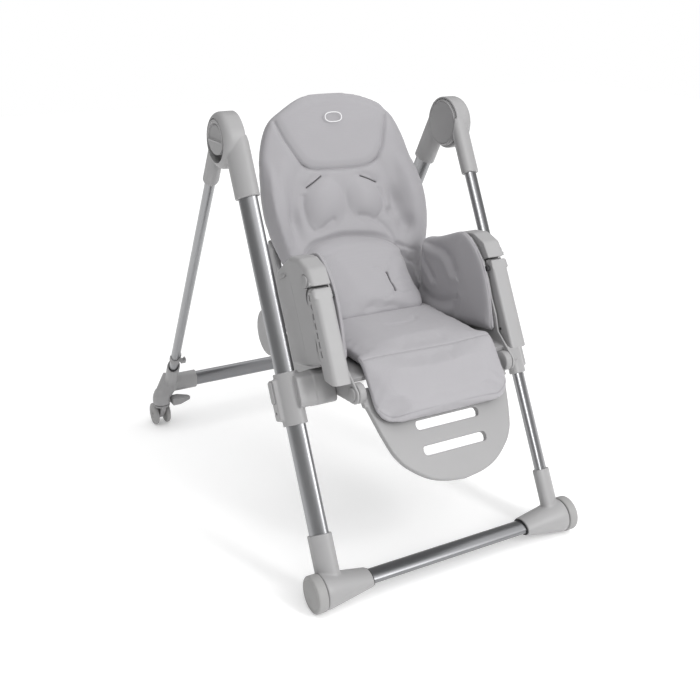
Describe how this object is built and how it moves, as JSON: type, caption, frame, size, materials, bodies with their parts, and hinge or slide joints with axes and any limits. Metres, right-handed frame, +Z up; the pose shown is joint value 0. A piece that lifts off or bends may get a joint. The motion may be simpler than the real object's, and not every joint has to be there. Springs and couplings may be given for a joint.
{
  "type": "baby high chair",
  "caption": "Folding baby high chair: A-frame of oval tubes, padded seat on sliding sleeves, reclining back, slotted hinged legrest, fold-down armrests, front wheels and rear casters.",
  "frame": {"origin": "on the floor, at the middle of the footprint", "axes": "+X to the right of someone facing the chair, +Y towards the back of the chair, +Z up; the chair faces -Y"},
  "size_m": [0.586, 0.8806, 0.8007],
  "materials": {
    "shell": "satin moulded plastic, warm light grey",
    "shell_dark": "satin moulded plastic, slightly darker grey",
    "tube": "satin anodised",
    "steel": "plain turned steel",
    "wheel": "matt wheel plastic with a soft tread",
    "cover": "wipe-clean coated fabric over foam, light grey"
  },
  "bodies": {
    "front_frame": {"front_tube_left": "tube", "front_tube_right": "tube", "hinge_housing_left": "shell", "hinge_housing_right": "shell", "front_foot_left": "shell", "front_foot_right": "shell", "front_crossbar": "tube", "front_axle_left": "steel", "front_axle_right": "steel"},
    "rear_frame": {"rear_hub_left": "shell", "rear_hub_right": "shell", "hub_cap_left": "shell_dark", "hub_cap_right": "shell_dark", "hinge_pin_left": "steel", "hinge_pin_right": "steel", "rear_tube_left": "tube", "rear_tube_right": "tube", "rear_foot_left": "shell", "rear_foot_right": "shell", "rear_crossbar": "tube", "tray_hook_left": "shell_dark", "tray_hook_right": "shell_dark"},
    "seat": {"carrier_left": "shell", "carrier_right": "shell", "seat_shell": "shell", "side_panel_left": "shell", "side_panel_right": "shell", "seat_pad": "cover", "wing_pad_left": "cover", "wing_pad_right": "cover", "armrest_pin_left": "steel", "armrest_pin_right": "steel"},
    "back": {"back_shell": "shell", "back_pad": "cover", "recline_shaft": "steel"},
    "recline_lever": {"recline_handle": "shell_dark"},
    "legrest": {"legrest_plate": "shell_dark", "legrest_pad": "cover"},
    "front_wheel_left": {"front_wheel_left": "wheel"},
    "fold_button_left": {"fold_button_left": "shell_dark"},
    "caster_left": {"caster_fork_left": "shell_dark"},
    "caster_wheels_left": {"caster_wheel_outer_left": "wheel", "caster_wheel_inner_left": "wheel", "caster_axle_left": "steel"},
    "brake_pedal_left": {"brake_pedal_left": "shell_dark"},
    "height_button_left": {"height_button_left": "shell_dark"},
    "armrest_left": {"armrest_left": "shell"},
    "armrest_button_left": {"armrest_button_left": "shell_dark"},
    "legrest_button_left": {"legrest_button_left": "shell_dark"},
    "front_wheel_right": {"front_wheel_right": "wheel"},
    "fold_button_right": {"fold_button_right": "shell_dark"},
    "caster_right": {"caster_fork_right": "shell_dark"},
    "caster_wheels_right": {"caster_wheel_outer_right": "wheel", "caster_wheel_inner_right": "wheel", "caster_axle_right": "steel"},
    "brake_pedal_right": {"brake_pedal_right": "shell_dark"},
    "height_button_right": {"height_button_right": "shell_dark"},
    "armrest_right": {"armrest_right": "shell"},
    "armrest_button_right": {"armrest_button_right": "shell_dark"},
    "legrest_button_right": {"legrest_button_right": "shell_dark"}
  },
  "joints": [
    {"name": "leg_fold", "type": "hinge", "parent": "front_frame", "child": "rear_frame", "pos_m": [0, 0, 0.739], "axis": [-1, 0, 0], "range_deg": [0, 50]},
    {"name": "seat_height", "type": "slide", "parent": "front_frame", "child": "seat", "axis": [0, 0.454, 0.891], "range_m": [-0.12, 0.21]},
    {"name": "back_recline", "type": "hinge", "parent": "seat", "child": "back", "pos_m": [0, 0.017, 0.346], "axis": [-1, 0, 0], "range_deg": [0, 35]},
    {"name": "recline_lever_squeeze", "type": "slide", "parent": "back", "child": "recline_lever", "axis": [0, 0.3665, 0.9304], "range_m": [0, 0.006], "stiffness_N_per_m": 600, "springref_m": -0.003},
    {"name": "legrest_angle", "type": "hinge", "parent": "seat", "child": "legrest", "pos_m": [0, -0.331, 0.351], "axis": [-1, 0, 0], "range_deg": [0, 50]},
    {"name": "fold_button_left_press", "type": "slide", "parent": "front_frame", "child": "fold_button_left", "axis": [0, -0.454, -0.891], "range_m": [0, 0.008], "stiffness_N_per_m": 500, "springref_m": -0.003},
    {"name": "front_wheel_left_roll", "type": "hinge", "parent": "front_frame", "child": "front_wheel_left", "pos_m": [-0.2705, -0.39702, 0.0325], "axis": [-1, 0, 0], "continuous": true},
    {"name": "caster_left_swivel", "type": "hinge", "parent": "rear_frame", "child": "caster_left", "pos_m": [-0.271, 0.39695, 0.05], "axis": [0, 0, 1], "continuous": true},
    {"name": "caster_left_roll", "type": "hinge", "parent": "caster_left", "child": "caster_wheels_left", "pos_m": [-0.271, 0.41445, 0.026], "axis": [-1, 0, 0], "continuous": true},
    {"name": "brake_pedal_left_press", "type": "hinge", "parent": "rear_frame", "child": "brake_pedal_left", "pos_m": [-0.249, 0.38895, 0.06], "axis": [0, 1, 0], "range_deg": [0, 12]},
    {"name": "armrest_left_raise", "type": "hinge", "parent": "seat", "child": "armrest_left", "pos_m": [-0.1865, -0.25479, 0.50548], "axis": [-1, 0, 0], "range_deg": [0, 65]},
    {"name": "armrest_button_left_press", "type": "slide", "parent": "seat", "child": "armrest_button_left", "axis": [1, 0, 0], "range_m": [0, 0.003], "stiffness_N_per_m": 500, "springref_m": -0.002},
    {"name": "height_button_left_press", "type": "slide", "parent": "seat", "child": "height_button_left", "axis": [1, 0, 0], "range_m": [0, 0.003], "stiffness_N_per_m": 500, "springref_m": -0.002},
    {"name": "legrest_button_left_press", "type": "slide", "parent": "seat", "child": "legrest_button_left", "axis": [1, 0, 0], "range_m": [0, 0.003], "stiffness_N_per_m": 500, "springref_m": -0.002},
    {"name": "fold_button_right_press", "type": "slide", "parent": "front_frame", "child": "fold_button_right", "axis": [0, -0.454, -0.891], "range_m": [0, 0.008], "stiffness_N_per_m": 500, "springref_m": -0.003},
    {"name": "front_wheel_right_roll", "type": "hinge", "parent": "front_frame", "child": "front_wheel_right", "pos_m": [0.2705, -0.39702, 0.0325], "axis": [-1, 0, 0], "continuous": true},
    {"name": "caster_right_swivel", "type": "hinge", "parent": "rear_frame", "child": "caster_right", "pos_m": [0.271, 0.39695, 0.05], "axis": [0, 0, 1], "continuous": true},
    {"name": "caster_right_roll", "type": "hinge", "parent": "caster_right", "child": "caster_wheels_right", "pos_m": [0.271, 0.41445, 0.026], "axis": [-1, 0, 0], "continuous": true},
    {"name": "brake_pedal_right_press", "type": "hinge", "parent": "rear_frame", "child": "brake_pedal_right", "pos_m": [0.249, 0.38895, 0.06], "axis": [0, -1, 0], "range_deg": [0, 12]},
    {"name": "armrest_right_raise", "type": "hinge", "parent": "seat", "child": "armrest_right", "pos_m": [0.1865, -0.25479, 0.50548], "axis": [-1, 0, 0], "range_deg": [0, 65]},
    {"name": "armrest_button_right_press", "type": "slide", "parent": "seat", "child": "armrest_button_right", "axis": [-1, 0, 0], "range_m": [0, 0.003], "stiffness_N_per_m": 500, "springref_m": -0.002},
    {"name": "height_button_right_press", "type": "slide", "parent": "seat", "child": "height_button_right", "axis": [-1, 0, 0], "range_m": [0, 0.003], "stiffness_N_per_m": 500, "springref_m": -0.002},
    {"name": "legrest_button_right_press", "type": "slide", "parent": "seat", "child": "legrest_button_right", "axis": [-1, 0, 0], "range_m": [0, 0.003], "stiffness_N_per_m": 500, "springref_m": -0.002}
  ]
}
